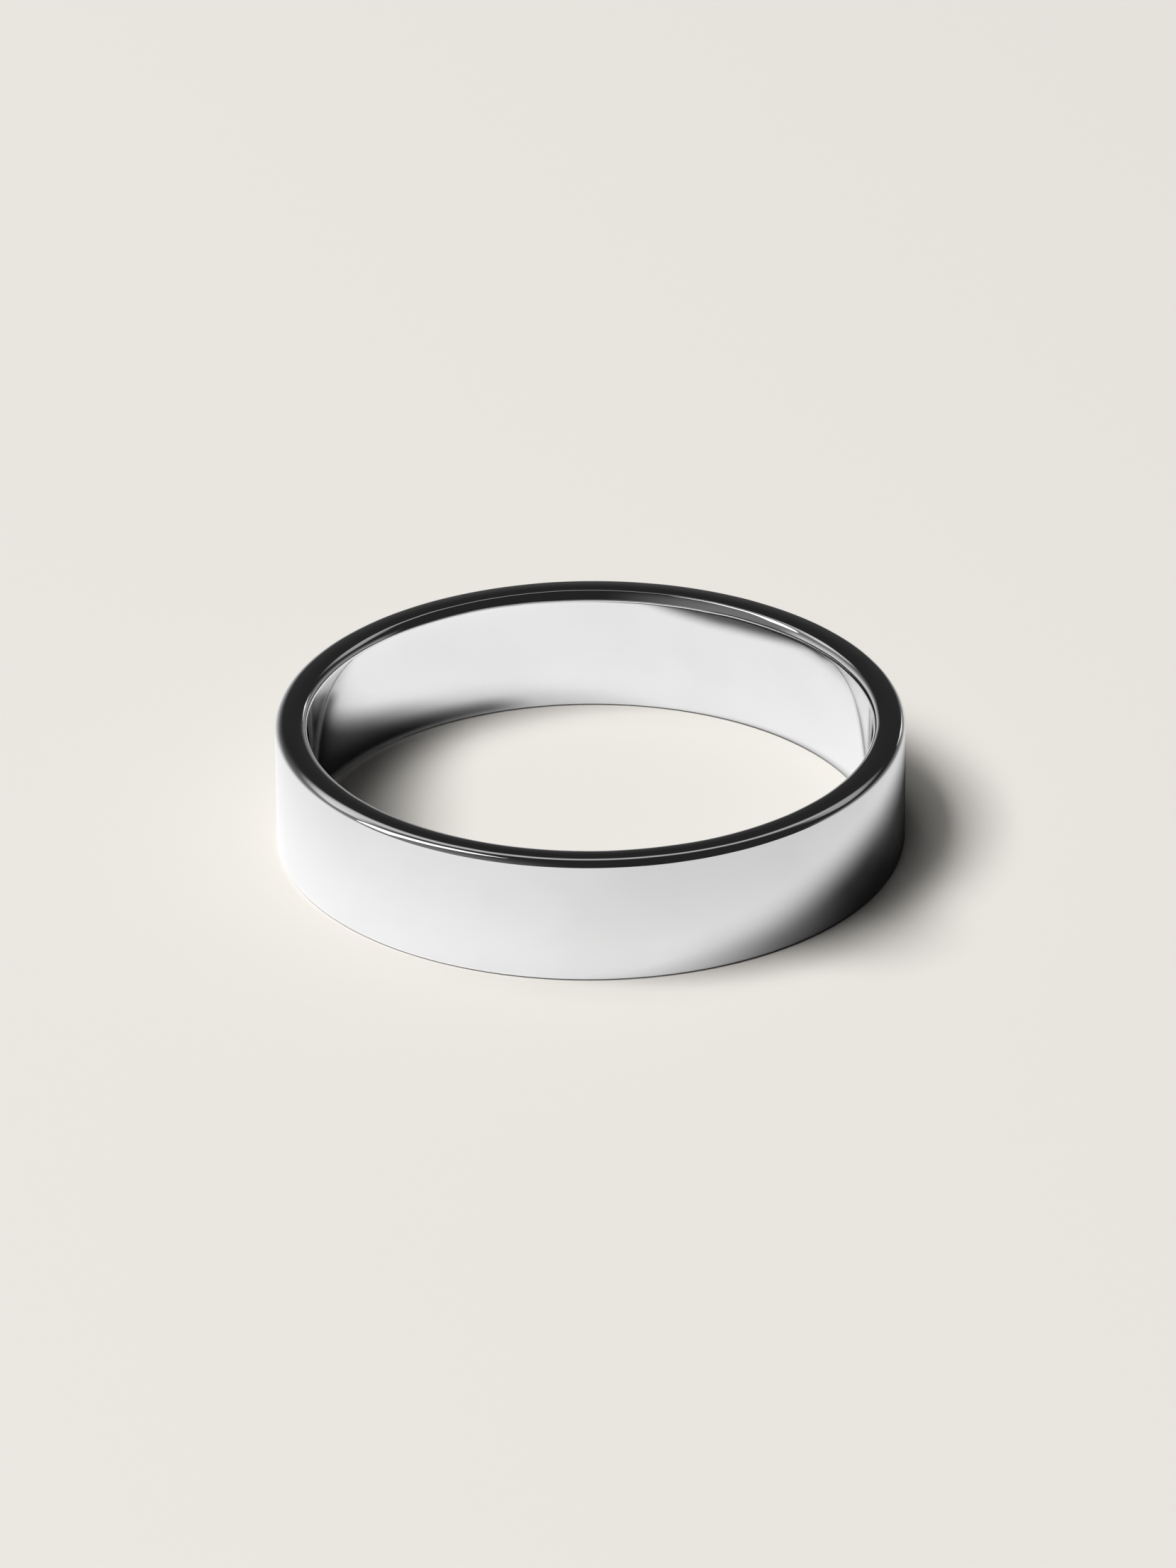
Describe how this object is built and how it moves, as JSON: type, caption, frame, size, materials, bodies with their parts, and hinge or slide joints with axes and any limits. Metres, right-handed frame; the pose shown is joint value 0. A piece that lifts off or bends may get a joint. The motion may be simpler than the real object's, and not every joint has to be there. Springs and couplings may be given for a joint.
{
  "type": "wedding band",
  "caption": "Plain finger ring in mirror-polished white metal: flat outside, slightly domed comfort-fit bore, softly eased edges.",
  "frame": {"origin": "centre of the lower side face's circle, on the finger axis, at the level the ring rests on", "axes": "+Z along the finger axis, from the lower side face to the upper one; X and Y are any two directions across the bore"},
  "size_m": [0.0196, 0.0196, 0.004],
  "materials": {
    "polished_white_metal": "mirror polish"
  },
  "bodies": {
    "root": {"band": "polished_white_metal"}
  },
  "joints": []
}
